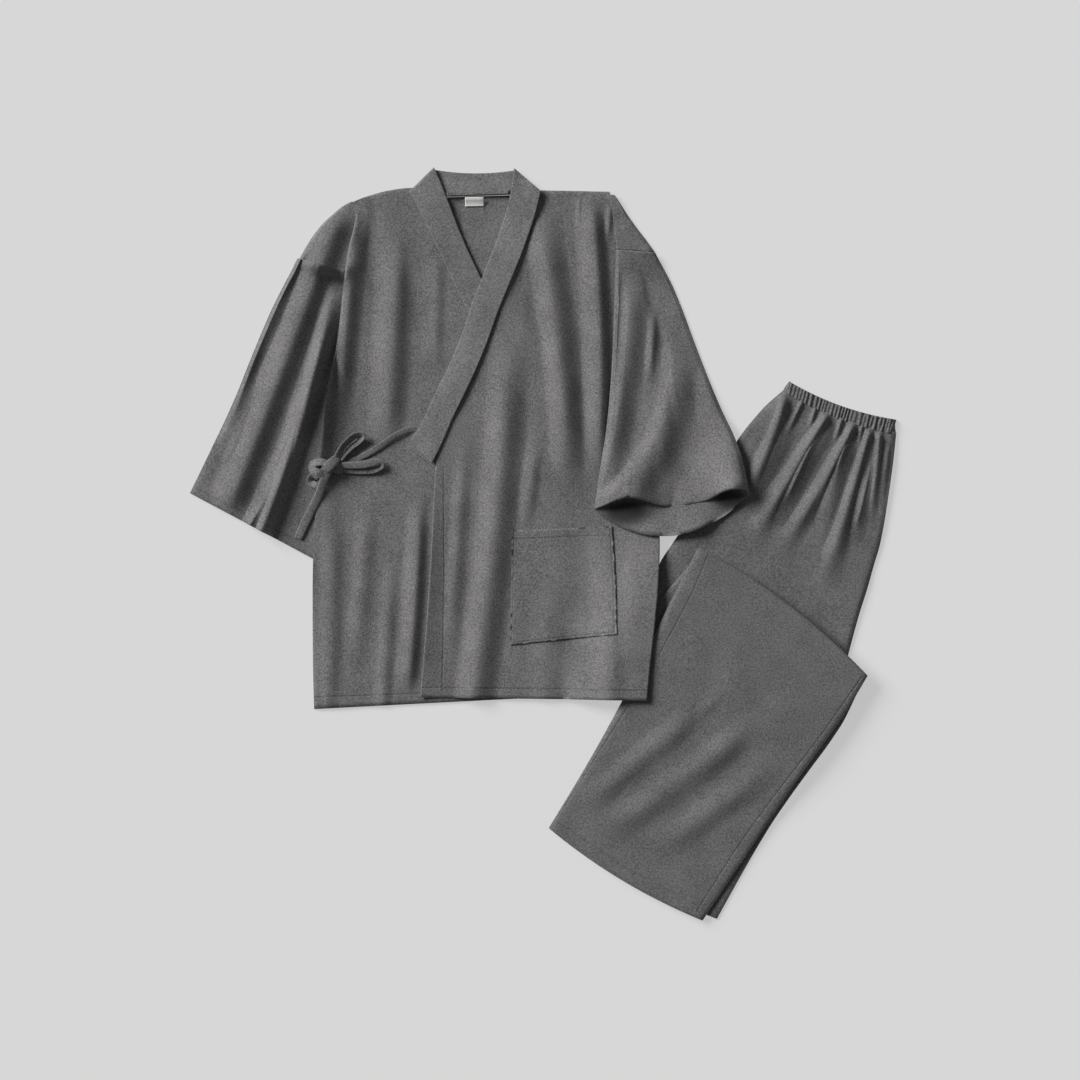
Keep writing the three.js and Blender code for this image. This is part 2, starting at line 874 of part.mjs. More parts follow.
straps.forEach(([name, geometry]) => place(name, geometry, JACKET));
place("knot", knot, JACKET);

// ---------------------------------------------------------------- origin

// The set stands on its origin: the middle of its box, on the surface.
const box = new THREE.Box3().setFromObject(set);
const middle = box.getCenter(new THREE.Vector3());
set.position.set(-middle.x, -middle.y, -box.min.z);

const part = new THREE.Group();
part.add(set);

export default part;
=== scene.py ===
# %% [markdown]
# # A jinbei set, laid flat
#
# A jinbei is a light Japanese house suit: a jacket whose fronts cross and tie at the side, and trousers
# with an elastic waist. This set lies on a pale surface. The jacket is face up with its bow tied, and
# the trousers are folded lengthwise and across, partly under one sleeve.
#
# The frame holds every piece at its true size as a thin faceted wall. In this lesson each wall is copied,
# its coarse folds are taken out, it is subdivided, and finer folds are put in, so that each piece becomes
# soft cloth that still fits its solid.

# %% Load the frame
import json
import math

import bmesh
import bpy
import numpy as np
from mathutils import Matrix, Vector
from mathutils.bvhtree import BVHTree


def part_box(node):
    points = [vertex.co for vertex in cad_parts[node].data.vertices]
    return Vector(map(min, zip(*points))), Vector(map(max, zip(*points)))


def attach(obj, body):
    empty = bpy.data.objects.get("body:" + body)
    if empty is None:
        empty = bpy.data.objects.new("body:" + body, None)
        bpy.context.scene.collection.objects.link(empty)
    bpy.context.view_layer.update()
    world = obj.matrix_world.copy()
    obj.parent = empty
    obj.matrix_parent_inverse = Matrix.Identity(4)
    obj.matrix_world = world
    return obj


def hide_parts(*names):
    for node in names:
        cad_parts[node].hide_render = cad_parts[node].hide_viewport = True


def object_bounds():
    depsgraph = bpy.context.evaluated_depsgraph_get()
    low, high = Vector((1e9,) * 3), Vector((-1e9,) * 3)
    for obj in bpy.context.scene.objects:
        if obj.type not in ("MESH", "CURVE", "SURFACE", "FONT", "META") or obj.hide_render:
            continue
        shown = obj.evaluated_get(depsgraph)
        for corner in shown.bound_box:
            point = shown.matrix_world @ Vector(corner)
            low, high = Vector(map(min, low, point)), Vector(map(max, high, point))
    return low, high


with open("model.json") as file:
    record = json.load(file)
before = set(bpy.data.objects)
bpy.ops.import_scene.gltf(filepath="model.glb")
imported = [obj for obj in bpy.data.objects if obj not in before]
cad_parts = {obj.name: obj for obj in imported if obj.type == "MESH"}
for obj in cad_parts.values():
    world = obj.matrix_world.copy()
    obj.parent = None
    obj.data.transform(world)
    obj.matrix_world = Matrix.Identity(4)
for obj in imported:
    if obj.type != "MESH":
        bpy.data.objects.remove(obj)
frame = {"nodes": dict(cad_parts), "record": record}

MM = 0.001
cad_low, cad_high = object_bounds()
print("the frame's box:", [round(v / MM, 1) for v in (*cad_low, *cad_high)])

# %% [markdown]
# ## Where things are
#
# The frame's origin is the middle of its box, but folds are easier to place from a fixed mark on the
# garment. The tables below are in millimetres in a flat plan of the set, with +X to the right and +Y to
# the collar. The plan and the frame differ by a small shift, which is measured on the label, a piece
# whose place in the plan is known.

# %% The plan
LABEL_LEFT, LABEL_TOP = -115, 502.2
label_low, label_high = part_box("label")
SHIFT_X = label_low[0] / MM - LABEL_LEFT
SHIFT_Y = label_high[1] / MM - LABEL_TOP
print("from plan to frame, mm:", round(SHIFT_X, 2), round(SHIFT_Y, 2))


def plan(coordinates):
    """The plan's x and y of many points that are in the frame's metres."""
    return coordinates[:, 0] / MM - SHIFT_X, coordinates[:, 1] / MM - SHIFT_Y


def in_frame(x, y, z=0.0):
    """A place of the plan as a point of the frame."""
    return Vector(((x + SHIFT_X) * MM, (y + SHIFT_Y) * MM, z * MM))


# %% [markdown]
# ## Folds
#
# A fold in cloth that lies flat is a soft ridge: it starts somewhere, bows a little, falls away on each
# side over its own width, and dies out. So each row of a table is one fold. A last number, where a row
# has one, says how many times wider the fold is at its end. Where folds run into each other their
# heights are added as the sides of a right angle are, so that a crossing isn't a peak.

# %% The height of a set of folds
def soft(share):
    """Smooth steps from 0 to 1, for shares of the way along or across a fold."""
    share = np.clip(share, 0, 1)
    return share * share * (3 - 2 * share)


def fold_height(folds, x, y):
    """Millimetres that the folds raise the cloth at each place of the plan."""
    total = np.zeros_like(x)
    for start_x, start_y, end_x, end_y, bow, left, right, height, fade_in, fade_out, *widening in folds:
        dx, dy = end_x - start_x, end_y - start_y
        length = math.hypot(dx, dy)
        along = ((x - start_x) * dx + (y - start_y) * dy) / length**2
        bowed = 4 * bow * along * (1 - along)
        aside = ((y - start_y) * dx - (x - start_x) * dy) / length - bowed
        grown = 1 + (widening[0] - 1) * along if widening else 1
        shape = soft(1 - np.abs(aside) / (np.where(aside < 0, left, right) * grown))
        shape *= soft(along / fade_in) * soft((1 - along) / fade_out)
        total += (height * shape) ** 2
    return np.sqrt(total)


# %% [markdown]
# The first tables are the folds that the frame's solids already have. They are taken out before a wall
# is subdivided, because a fold that crosses large facets would leave beads along it.

# %% The frame's own coarse folds
# start_x start_y end_x end_y bow left right height fade_in fade_out
# Left and right are as seen with the fold's start at the top.
COARSE = {
    "trousers_hip": [
        (356, 226, 262, 42, -14, 30, 26, 11, 0.25, 0.6),
        (392, 206, 288, 22, -16, 24, 22, 14, 0.12, 0.5),
        (428, 190, 330, -20, -20, 22, 24, 15, 0.1, 0.45),
        (452, 180, 396, -40, -8, 20, 24, 14, 0.1, 0.5),
        (476, 174, 432, -70, 4, 16, 20, 12, 0.1, 0.6),
        (500, 168, 470, -40, 6, 14, 16, 10, 0.15, 0.6),
    ],
    "leg_near": [
        (240, -270, 64, -420, -10, 26, 22, 5, 0.3, 0.3),
        (170, -240, 44, -396, 6, 22, 18, 4, 0.4, 0.3),
        (330, -262, 120, -436, -12, 26, 24, 5, 0.4, 0.4),
    ],
    "sleeve_left": [
        (-322, 462, -470, 90, -8, 34, 30, 13, 0.25, 0.15),
        (-300, 400, -434, 0, 12, 18, 16, 17, 0.35, 0.04),
    ],
    "front_under": [
        (-270, 480, -324, 40, -6, 16, 34, 9, 0.15, 0.4),
        (-236, 470, -262, 190, 0, 28, 30, 7, 0.3, 0.4),
        (-176, 470, -190, 210, 6, 32, 28, 6, 0.3, 0.5),
        (-192, 80, -216, -214, 4, 26, 26, 9, 0.3, 0.25),
        (-290, 20, -300, -200, 0, 34, 30, 4, 0.4, 0.4),
        (-246, 30, -252, -190, 4, 28, 28, 4, 0.4, 0.5),
    ],
    "front_over": [
        (8, 480, 4, 60, 0, 26, 24, 11, 0.3, 0.35),
        (66, 490, 66, 80, 2, 26, 28, 12, 0.25, 0.4),
        (-66, 300, -118, -224, 14, 28, 26, 13, 0.3, 0.02),
        (-28, 250, -34, 0, 4, 24, 24, 7, 0.4, 0.4),
        (88, -20, 92, -200, 0, 36, 36, 3, 0.5, 0.5),
        (10, 60, 28, -200, 0, 36, 40, 3, 0.4, 0.5),
    ],
    "sleeve_right": [
        (108, 410, 88, 130, -4, 10, 24, 8, 0.2, 0.3),
        (184, 340, 92, 50, 26, 15, 40, 12, 0.3, 0.12),
        (236, 200, 266, 80, 0, 30, 24, 8, 0.5, 0.05),
    ],
}
COARSE["shoulder_left"] = COARSE["sleeve_left"]
print("coarse folds:", sum(len(rows) for rows in COARSE.values()))

# %% [markdown]
# The fine folds are the ones that show. They follow the coarse ones roughly, and add the narrower
# creases that a faceted wall has no room for. The left shoulder shares the folds of its sleeve, which
# run through the seam.

# %% The fine folds
# start_x start_y end_x end_y bow left right height fade_in fade_out, and the widening where a row has one
FINE = {
    "trousers_hip": [
        (350, 222, 270, 35, 8, 12, 14, 11, 0.1, 0.5, 1.8),
        (415, 200, 295, -5, 0, 10, 10, 11, 0.06, 0.4, 2.3),
        (452, 186, 335, -20, 6, 10, 10, 11, 0.06, 0.45, 2.2),
        (474, 176, 400, -75, 0, 8, 10, 10, 0.06, 0.45, 2.6),
        (486, 170, 466, 10, 2, 7, 8, 8, 0.08, 0.6, 1.8),
        (376, 214, 345, 150, 0, 5, 6, 5, 0.1, 0.6, 1.5),
        (396, 207, 382, 165, 0, 4, 5, 4, 0.1, 0.6, 1.5),
        (434, 193, 420, 145, 0, 5, 6, 5, 0.1, 0.6, 1.5),
        (463, 182, 452, 130, 0, 4, 5, 4, 0.1, 0.6, 1.5),
    ],
    "leg_near": [
        (235, -230, 50, -385, 2, 26, 24, 5, 0.3, 0.3),
        (315, -250, 75, -425, 5, 28, 30, 7, 0.25, 0.3),
        (350, -310, 145, -455, 0, 28, 28, 5, 0.4, 0.4),
        (260, -210, 215, -255, 0, 15, 15, 2, 0.4, 0.4),
    ],
    "sleeve_left": [
        (-295, 490, -465, 35, 2, 36, 28, 13, 0.08, 0.1),
        (-300, 395, -415, 5, 10, 18, 22, 20, 0.3, 0.04),
    ],
    "front_under": [
        (-270, 490, -300, 160, 0, 18, 22, 7, 0.15, 0.3),
        (-280, 490, -290, 440, 0, 8, 10, 5, 0.3, 0.5),
        (-210, 475, -230, 110, 0, 34, 30, 10, 0.3, 0.3),
        (-155, 450, -160, 220, 0, 22, 16, 5, 0.3, 0.4),
        (-305, 65, -315, -240, 2, 22, 20, 4, 0.3, 0.05),
        (-255, 80, -275, -205, 0, 20, 22, 4, 0.3, 0.4),
        (-220, 10, -235, -240, 0, 16, 15, 3, 0.5, 0.05),
        (-180, 90, -200, -225, 3, 22, 16, 8, 0.3, 0.15),
    ],
    "front_over": [
        (-50, 330, -105, -240, 8, 32, 36, 11, 0.3, 0.03),
        (-115, 170, -140, -205, 0, 16, 18, 4, 0.3, 0.4),
        (-15, 510, 35, 55, 10, 28, 34, 13, 0.25, 0.3),
        (65, 515, 75, 70, 10, 30, 20, 12, 0.15, 0.3),
        (5, -25, 0, -240, 0, 30, 30, 3, 0.5, 0.05),
        (85, 35, 95, -240, 0, 28, 26, 4, 0.4, 0.05),
        (-10, 160, -30, 15, 0, 18, 16, 4, 0.4, 0.4),
        (50, 510, 50, 425, 0, 6, 6, 2.5, 0.3, 0.6),
        (95, 495, 90, 425, 0, 7, 8, 3, 0.3, 0.6),
    ],
    "sleeve_right": [
        (125, 400, 85, 80, 10, 16, 28, 7, 0.2, 0.12),
        (180, 325, 80, 55, 45, 22, 46, 10, 0.3, 0.12),
        (220, 275, 280, 75, 0, 30, 26, 5, 0.4, 0.06),
        (160, 350, 150, 210, 0, 10, 10, 4, 0.4, 0.5),
    ],
}
FINE["shoulder_left"] = FINE["sleeve_left"]
print("fine folds:", sum(len(rows) for rows in FINE.values()))


# %% [markdown]
# Between its folds cloth that has been worn and washed is never quite even. Two slow waves that bend
# each other give every large piece the same faint unevenness, less than a millimetre high and mostly
# along its length.

# %% Faint unevenness
RIPPLE, SWELL = 0.45, 0.35  # heights in millimetres


def unevenness(x, y):
    """Millimetres, from slow waves whose crests wander."""
    lengthwise = np.sin(x / 13 + 1.7 * np.sin(y / 75) + 0.8 * np.sin(x / 41))
    crosswise = np.sin(y / 58 + x / 47 + 1.1 * np.sin(x / 90))
    return RIPPLE * lengthwise * (0.6 + 0.4 * crosswise) + SWELL * crosswise


# %% [markdown]
# ## From a faceted wall to cloth
#
# A wall from the frame comes as loose triangles. Merged, and with its triangles joined in pairs, it is
# a tidy grid of quads again, which is what subdivision needs.

# %% A clean copy of a node
SAME_PLACE = 0.01 * MM  # vertices as near as this are one


def merged_copy(node):
    """A node's wall as a bmesh of quads."""
    wall = bmesh.new()
    wall.from_mesh(frame["nodes"][node].data)
    bmesh.ops.remove_doubles(wall, verts=wall.verts, dist=SAME_PLACE)
    for _ in range(2):
        bmesh.ops.join_triangles(
            wall,
            faces=wall.faces,
            angle_face_threshold=math.pi,
            angle_shape_threshold=math.pi,
            topology_influence=1.0,
        )
    return wall


# %% [markdown]
# Each vertex is given a number, `lift`: 1 where it carries the folds, 0 on the under layer of a tube
# such as a sleeve and along an edge that rolls down to the surface, and about a half along a tube's
# folded sides. The upper layer of a tube is known by what lies over it: its outer face has nothing
# above, and its inner face has only the outer one. Past a tube's upper hem the same is true of its
# under layer.

# %% Which vertices carry the folds
LEVEL = 0.3  # a face whose normal rises less than this stands upright
STANDING = 0.5 * MM  # an edge that is shorter than this, seen from above, stands upright
ROLL_WIDTH = 8 * MM  # the strip along a rolled edge is narrower than this
UP, DOWN = Vector((0, 0, 1)), Vector((0, 0, -1))
CLEAR = 0.01 * MM  # a ray starts this far from the cloth, so as not to meet the face it leaves
ASIDE = Vector((0.37, 0.23, 0)) * MM  # and this far from a face's middle, so as not to run along an edge
COVERED = 2  # faces above a face that belongs to an under layer


def faces_above(tree, face):
    """How many faces lie over a face, counted as far as `COVERED`."""
    start = face.calc_center_median() + face.normal * CLEAR + ASIDE
    count = 0
    while count < COVERED:
        place, _, _, _ = tree.ray_cast(start, UP)
        if place is None:
            break
        start = place + CLEAR * UP
        count += 1
    return count


def mark_tube(wall):
    """On a tube, the upper layer carries the folds: a vertex takes the mean of the faces around it."""
    lift = wall.verts.layers.float.new("lift")
    tree = BVHTree.FromBMesh(wall)
    wall.normal_update()
    level = [f for f in wall.faces if abs(f.normal.z) > LEVEL]
    upper = {f: float(faces_above(tree, f) < COVERED) for f in level}
    for vert in wall.verts:
        marks = [upper[f] for f in vert.link_faces if f in upper]
        vert[lift] = sum(marks) / len(marks) if marks else 0.5


def width_from_above(edge):
    """The length of an edge, seen from above."""
    a, b = edge.verts
    return (b.co - a.co).xy.length


def mark_sheet(wall):
    """On a single sheet everything does, but for the border of an edge that rolls down."""
    lift = wall.verts.layers.float.new("lift")
    for vert in wall.verts:
        widths = [width_from_above(e) for e in vert.link_edges]
        on_border = min(widths) < STANDING
        by_roll = any(STANDING < w < ROLL_WIDTH for w in widths)
        vert[lift] = 0.0 if on_border and by_roll else 1.0


# %% [markdown]
# From here on the work is done on whole meshes at once: their vertices come as an array with a row for
# each, and go back as one.

# %% Reading and moving a mesh's vertices
def vectors_of(mesh, which):
    vectors = np.empty(len(mesh.vertices) * 3)
    mesh.vertices.foreach_get(which, vectors)
    return vectors.reshape(-1, 3)


def vertices_of(mesh):
    return vectors_of(mesh, "co")


def normals_of(mesh):
    return vectors_of(mesh, "normal")


def numbers_of(mesh, name):
    """One number a vertex, from an attribute."""
    numbers = np.empty(len(mesh.vertices))
    mesh.attributes[name].data.foreach_get("value", numbers)
    return numbers


def move_to(mesh, coordinates):
    mesh.vertices.foreach_set("co", coordinates.ravel())
    mesh.update()


def raise_by(mesh, heights):
    """Moves the vertices up, each by its own height in millimetres."""
    coordinates = vertices_of(mesh)
    coordinates[:, 2] += heights * MM
    move_to(mesh, coordinates)


# %% [markdown]
# Subdivision rounds what isn't creased. The borders and corners of each wall are creased, so that a
# piece keeps its outline and its thickness. One plain cut first halves the facets, which keeps curves
# close to the frame's, and then two smooth levels follow.

# %% Fine cloth from a coarse wall
LEVELS = 2
RIM_ANGLE = math.radians(50)  # faces that meet at more than this form a rim


def crease_rims(wall):
    """Keeps the rims sharp when the wall is subdivided."""
    crease = wall.edges.layers.float.new("crease_edge")
    for edge in wall.edges:
        if edge.calc_face_angle(0) > RIM_ANGLE:
            edge[crease] = 1.0


def subdivided(wall, name, levels):
    """The wall as a new mesh, subdivided smoothly."""
    mesh = bpy.data.meshes.new(name)
    wall.to_mesh(mesh)
    wall.free()
    carrier = bpy.data.objects.new(name, mesh)
    bpy.context.scene.collection.objects.link(carrier)
    modifier = carrier.modifiers.new("subdivide", "SUBSURF")
    modifier.levels = modifier.render_levels = levels
    modifier.use_creases = True
    fine = bpy.data.meshes.new_from_object(carrier.evaluated_get(bpy.context.evaluated_depsgraph_get()))
    bpy.data.objects.remove(carrier)
    bpy.data.meshes.remove(mesh)
    return fine


def iron(mesh, passes):
    """Evens out heights over a few neighbours, but for the rims, so that only slow slopes are left."""
    cloth = bmesh.new()
    cloth.from_mesh(mesh)
    inner = [v for v in cloth.verts if all(e.calc_face_angle(0) < RIM_ANGLE for e in v.link_edges)]
    for _ in range(passes):
        bmesh.ops.smooth_vert(
            cloth, verts=inner, factor=0.5, use_axis_x=False, use_axis_y=False, use_axis_z=True
        )
    cloth.to_mesh(mesh)
    cloth.free()


# %% [markdown]
# ## Laying one piece on another
#
# The fine folds differ a little from the coarse ones, so a piece could dip into what lies under it. A
# grid keeps the top of everything laid so far. Before a piece is kept, it is lifted wherever it would
# come too close, and the lift is blurred so that it never shows as a step.

# %% The bed
class Bed:
    """A square grid of heights in millimetres around the middle of the frame."""

    CELL = 3.0
    GAP = 0.3  # between a piece and what it lies on
    MARGIN = 30  # of grid around the set
    SPREAD = 6  # blurs that spread a lift over the cells around it

    def __init__(self):
        half_side = max(*cad_high[:2]) / MM + self.MARGIN
        self.half = int(half_side / self.CELL)
        side = 2 * self.half + 1
        self.tops = np.full((side, side), -self.GAP)

    def cells(self, coordinates):
        """Places of the frame as rows and columns of the grid, with fractions."""
        return coordinates[:, :2] / MM / self.CELL + self.half

    @staticmethod
    def widened(grid):
        """Each cell takes the highest of itself and its neighbours."""
        wide = grid.copy()
        for axis in (0, 1):
            for step in (-1, 1):
                wide = np.maximum(wide, np.roll(grid if axis == 0 else wide, step, axis))
        return wide

    @staticmethod
    def blurred(grid, passes):
        """Each pass gives a cell half its own height and a quarter of each neighbour's, along both axes."""
        for _ in range(passes):
            for axis in (0, 1):
                grid = (np.roll(grid, 1, axis) + 2 * grid + np.roll(grid, -1, axis)) / 4
        return grid

    @staticmethod
    def sampled(grid, places):
        """The grid's heights at places between its cells."""
        low = np.floor(places).astype(int)
        share = places - low
        i, j = low.T
        u, v = share.T
        near = grid[i, j] * (1 - v) + grid[i, j + 1] * v
        far = grid[i + 1, j] * (1 - v) + grid[i + 1, j + 1] * v
        return near * (1 - u) + far * u

    def raster(self, coordinates, heights, empty):
        """A grid of the highest that each cell holds, or `empty`."""
        grid = np.full_like(self.tops, empty)
        i, j = np.rint(self.cells(coordinates)).astype(int).T
        np.maximum.at(grid, (i, j), heights)
        return self.widened(grid)

    def lift(self, mesh):
        """How far each vertex has to rise for the piece to lie clear of the bed."""
        coordinates = vertices_of(mesh)
        under = normals_of(mesh)[:, 2] < -LEVEL
        low = coordinates[under]
        need = self.sampled(self.tops, self.cells(low)) + self.GAP - low[:, 2] / MM
        grid = self.raster(low, np.maximum(need, 0), 0)
        grid = np.maximum(grid, self.blurred(grid, self.SPREAD))
        return self.sampled(self.blurred(grid, 1), self.cells(coordinates))

    def lay(self, mesh):
        """Adds a piece to what lies there."""
        coordinates = vertices_of(mesh)
        grid = self.raster(coordinates, coordinates[:, 2] / MM, -self.GAP)
        self.tops = np.maximum(self.tops, grid)


bed = Bed()
print("the bed has", bed.tops.size, "cells")

# %% [markdown]
# ## Lines of stitching
#
# A row of stitching pulls a narrow groove into soft cloth. Each line is a few points of the plan. Every
# vertex of a piece keeps its distance from each of the piece's lines, and the finish draws the grooves
# from that, so that they stay sharp whatever the size of the faces.

# %% Where the stitching runs
CHANNELS = 3  # a piece has room for so many lines
LINE_FADE = 6  # millimetres past its end over which a line dies out

LINES = {
    "front_over": [[(-146, 112), (-145, -50), (-148, -212)], [(-182, -208), (152, -212)]],
    "front_under": [[(-336, -222), (-175, -217)]],
    "pocket": [
        [(-44, 22), (-45.5, -60), (-47.5, -143), (101, -127.5), (100, -60), (95, 26)],
        [(-50, 7), (100, 13)],
    ],
    "sleeve_left": [[(-512, 84), (-322, -14)]],
    "leg_near": [
        [(238, -12), (214, -70), (154, -183), (28, -383)],
        [(460, -190), (402, -273), (324, -376), (276, -444), (221, -531)],
        [(12, -397), (120, -470), (237, -532)],
    ],
    "leg_far": [[(20, -398), (126, -472), (252, -528)]],
}


def beside_line(line, x, y):
    """Each place's distance from a line, signed by its side, and a share that fades past the line's ends."""
    nearest = np.full_like(x, np.inf)
    signed = np.zeros_like(x)
    past = np.zeros_like(x)
    for k, ((start_x, start_y), (end_x, end_y)) in enumerate(zip(line, line[1:])):
        dx, dy = end_x - start_x, end_y - start_y
        length = math.hypot(dx, dy)
        along = ((x - start_x) * dx + (y - start_y) * dy) / length**2
        aside = (y - start_y) * dx - (x - start_x) * dy
        held = np.clip(along, 0, 1)
        distance = np.hypot(x - start_x - held * dx, y - start_y - held * dy)
        closer = distance < nearest
        nearest = np.where(closer, distance, nearest)
        signed = np.where(closer, np.sign(aside) * distance, signed)
        if k == 0:
            past = np.maximum(past, -along * length)
        if k == len(line) - 2:
            past = np.maximum(past, (along - 1) * length)
    return signed, soft(1 - past / LINE_FADE)


def mark_lines(mesh, lines):
    """Stores each line in an attribute, from which the finish draws a groove of stitching."""
    x, y = plan(vertices_of(mesh))
    upward = (normals_of(mesh)[:, 2] > 0).astype(float)
    for channel in range(CHANNELS):
        values = np.zeros((len(x), 3))
        if channel < len(lines):
            values[:, 0], values[:, 1] = beside_line(lines[channel], x, y)
            values[:, 1] *= upward
        layer = mesh.attributes.new(f"stitching_{channel}", "FLOAT_VECTOR", "POINT")
        layer.data.foreach_set("vector", values.ravel())


# %% [markdown]
# ## One piece of cloth, from node to finished object
#
# The steps always come in the same order, so two functions do them. The first copies the wall, marks
# it, takes out its coarse folds, subdivides and irons it, and puts in the fine folds. The second lays
# it on the bed. The new object then stands for its node, rides on the frame's one body and takes the
# node's material slot.

# %% Make a piece
slot_of = {row["node"]: row["material_slot"] for row in frame["record"]["subparts"]}
TUBES = {"trousers_hip", "trousers_casing", "leg_far", "leg_near", "sleeve_left", "sleeve_right"}
pieces = {}


def make_cloth(node, passes=24, extra=None, taken_out=None, share=None):
    """The fine mesh of a node's cloth.

    `passes` says how long it is ironed, `extra` adds heights of its own to those of the fine table,
    `taken_out` to those of the coarse one, and `share` says how much of its folds each place shows.
    """
    wall = merged_copy(node)
    (mark_tube if node in TUBES else mark_sheet)(wall)
    lift = wall.verts.layers.float["lift"]
    places = np.array([v.co[:] for v in wall.verts])
    coarse = fold_height(COARSE.get(node, []), *plan(places))
    if taken_out:
        coarse += taken_out(*plan(places))
    for vert, height in zip(wall.verts, coarse):
        vert.co.z -= vert[lift] * height * MM
    crease_rims(wall)
    bmesh.ops.subdivide_edges(wall, edges=wall.edges, cuts=1, use_grid_fill=True)
    cloth = subdivided(wall, node + "_cloth", LEVELS)
    iron(cloth, passes)
    x, y = plan(vertices_of(cloth))
    heights = fold_height(FINE.get(node, []), x, y) + unevenness(x, y)
    if extra:
        heights = heights + extra(x, y)
    if share:
        heights = heights * share(x, y)
    raise_by(cloth, heights * numbers_of(cloth, "lift"))
    return cloth


def reach_out(mesh, reach):
    """Widens a mesh in the plan, so that it tucks in under its neighbours."""
    coordinates = vertices_of(mesh)
    x, y = plan(coordinates)
    coordinates[:, :2] += np.stack(reach(x, y), axis=1) * MM
    move_to(mesh, coordinates)


# %% Lay and declare a piece
def keep(node, cloth, lifted=True):
    """Lays a finished mesh on the bed and makes it the piece that stands for its node."""
    if lifted:
        raise_by(cloth, bed.lift(cloth))
    bed.lay(cloth)
    mark_lines(cloth, LINES.get(node, []))
    cloth.shade_smooth()
    piece = bpy.data.objects.new(cloth.name, cloth)
    bpy.context.scene.collection.objects.link(piece)
    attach(piece, "root")
    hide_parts(node)
    pieces[node] = piece
    triangles = sum(len(p.vertices) - 2 for p in cloth.polygons)
    print(f"{node}: {triangles} triangles, top {max(v.co.z for v in cloth.vertices) / MM:.1f} mm")
    return piece


# %% [markdown]
# ## The trousers
#
# They are folded in half lengthwise, so that one leg lies on the other, and then in three across. The
# hip section with its gathered waist is at the bottom, the middle is hidden, and the two legs lie on
# top.

# %% The waist's own directions
WAIST_START, WAIST_END = (347, 224.5), (510, 162.5)
WAIST_WIDTH = math.dist(WAIST_START, WAIST_END)


def along_waist(x, y):
    """Millimetres along the lower edge of the casing, and millimetres up from it."""
    dx, dy = WAIST_END[0] - WAIST_START[0], WAIST_END[1] - WAIST_START[1]
    along = ((x - WAIST_START[0]) * dx + (y - WAIST_START[1]) * dy) / WAIST_WIDTH
    up = ((y - WAIST_START[1]) * dx - (x - WAIST_START[0]) * dy) / WAIST_WIDTH
    return along, up


def waist_shift(along_by, up_by):
    """Moves along and up the waist as moves in x and y."""
    dx = (WAIST_END[0] - WAIST_START[0]) / WAIST_WIDTH
    dy = (WAIST_END[1] - WAIST_START[1]) / WAIST_WIDTH
    return along_by * dx - up_by * dy, along_by * dy + up_by * dx


# %% [markdown]
# The waist hangs in a shallow curve between its two corners. Where the hip section turns under at the
# first fold, its edge swells out towards the jacket.

# %% Hip section
WAIST_SAG = 9
SAG_FADE = 70  # how far down the hip section the sag dies out
FOLD_Y, FOLD_SPREAD, FOLD_REACH = -45, 60, 9  # the middle of the swelling, half its length and its height
SWOLLEN_X, UNSWOLLEN_X = 210, 270  # it fades between these, so that the other edge stays where it is


def sag(along):
    """Millimetres that the waist hangs down, as a number below 0."""
    share = np.clip(along / WAIST_WIDTH, 0, 1)
    return -WAIST_SAG * 4 * share * (1 - share)


def hip_reach(x, y):
    along, up = along_waist(x, y)
    shift_x, shift_y = waist_shift(np.zeros_like(x), sag(along) * soft(1 + up / SAG_FADE))
    by_fold = soft(1 - np.abs(y - FOLD_Y) / FOLD_SPREAD)
    by_edge = soft((UNSWOLLEN_X - x) / (UNSWOLLEN_X - SWOLLEN_X))
    return shift_x - FOLD_REACH * by_fold * by_edge, shift_y


hip = make_cloth("trousers_hip")
reach_out(hip, hip_reach)
keep("trousers_hip", hip)

# %% [markdown]
# The casing's outer corners are round, and its lower edge goes a little over the hip section, which it
# is sewn to. The elastic inside draws it into gathers. The frame has even ones, so those are taken out,
# and small uneven ones take their place.

# %% The shape of the casing
CASING_HEIGHT = 15
CORNER = 7  # radius of the outer corners
CORNER_CUT = 0.7  # share of the radius that the top edge is drawn in at its ends
SEWN_OVER = 3  # how far the casing goes over the hip section


def casing_reach(x, y):
    along, up = along_waist(x, y)
    at_top = soft((up - CASING_HEIGHT + 2 * CORNER) / (2 * CORNER))
    at_ends = soft(1 - along / CORNER) - soft(1 - (WAIST_WIDTH - along) / CORNER)
    inward = CORNER * CORNER_CUT * at_top * at_ends
    down = -SEWN_OVER * soft(1 - up / CASING_HEIGHT)
    return waist_shift(inward, sag(along) + down)


# %% The gathers
GATHER_PITCH = 5.4
GATHER_DEPTH = 1.1


def gathers(x, y):
    """Small gathers across the waist, uneven in width and depth, and a little slanted."""
    along, up = along_waist(x, y)
    wandering = along + 0.12 * up + 1.9 * np.sin(along / 13) + 1.1 * np.sin(along / 5.3 + 1)
    depth = GATHER_DEPTH * (0.75 + 0.35 * np.sin(along / 7.7 + 2))
    return depth * np.cos(2 * math.pi * wandering / GATHER_PITCH)


FRAME_CASING = (348.5, 231.3, 511, 171.8)  # start_x start_y end_x end_y of its middle line
FRAME_GATHERS, FRAME_GATHER_DEPTH = 16, 3


def frame_gathers(x, y):
    """The heights of the frame's own gathers."""
    start_x, start_y, end_x, end_y = FRAME_CASING
    dx, dy = end_x - start_x, end_y - start_y
    share = ((x - start_x) * dx + (y - start_y) * dy) / (dx * dx + dy * dy)
    return FRAME_GATHER_DEPTH * np.cos(2 * math.pi * FRAME_GATHERS * share)


casing = make_cloth("trousers_casing", extra=gathers, taken_out=frame_gathers)
reach_out(casing, casing_reach)
keep("trousers_casing", casing, lifted=False)

# %% [markdown]
# Only an edge of the middle shows, in the fold beside the jacket, so it reaches out there. The far leg
# lies on the middle, and the near leg on the far one.

